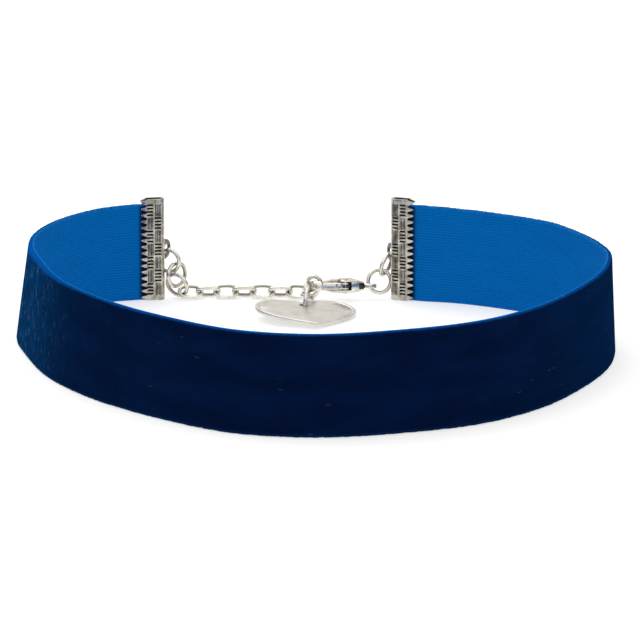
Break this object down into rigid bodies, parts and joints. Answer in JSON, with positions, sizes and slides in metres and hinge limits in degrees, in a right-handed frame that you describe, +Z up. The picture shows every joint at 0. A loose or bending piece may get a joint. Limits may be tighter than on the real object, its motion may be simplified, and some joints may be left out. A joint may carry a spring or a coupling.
{
  "type": "choker necklace",
  "caption": "Wide velvet ribbon choker with toothed metal ribbon ends, an extension chain with a heart tag and a lobster clasp.",
  "frame": {"origin": "on the table, under the middle of the necklace's bounding box", "axes": "+Z up as the ribbon stands on its lower edge, +Y to the fastening at the back, +X to the clasp's side"},
  "size_m": [0.1138, 0.1042, 0.02],
  "materials": {
    "velvet": "dark blue pile outside, ribbed woven back inside",
    "stamped_metal": "silver plate with dark stamped grooves",
    "bright_metal": "polished silver plate"
  },
  "bodies": {
    "necklace": {"velvet_ribbon": "velvet", "ribbon_end_left": "stamped_metal", "ribbon_end_right": "stamped_metal", "tab_ring_left": "bright_metal", "middle_ring": "bright_metal", "chain_ring": "bright_metal", "tab_ring_right": "bright_metal", "clasp_ring": "bright_metal", "tag_ring": "bright_metal", "chain_link_01": "bright_metal", "chain_link_02": "bright_metal", "chain_link_03": "bright_metal", "chain_link_04": "bright_metal", "chain_link_05": "bright_metal", "chain_link_06": "bright_metal", "chain_link_07": "bright_metal", "chain_link_08": "bright_metal", "chain_link_09": "bright_metal", "chain_link_10": "bright_metal", "clasp_body": "bright_metal", "clasp_pin": "bright_metal", "heart_tag": "bright_metal"},
    "lever": {"clasp_lever": "bright_metal"}
  },
  "joints": [
    {"name": "lever_hinge", "type": "hinge", "parent": "necklace", "child": "lever", "pos_m": [0.00584, 0.0465, 0.00294], "axis": [-0.0085, -0.2105, -0.9776], "range_deg": [0, 25], "stiffness_Nm_per_rad": 0.002, "springref_deg": -8.59}
  ]
}
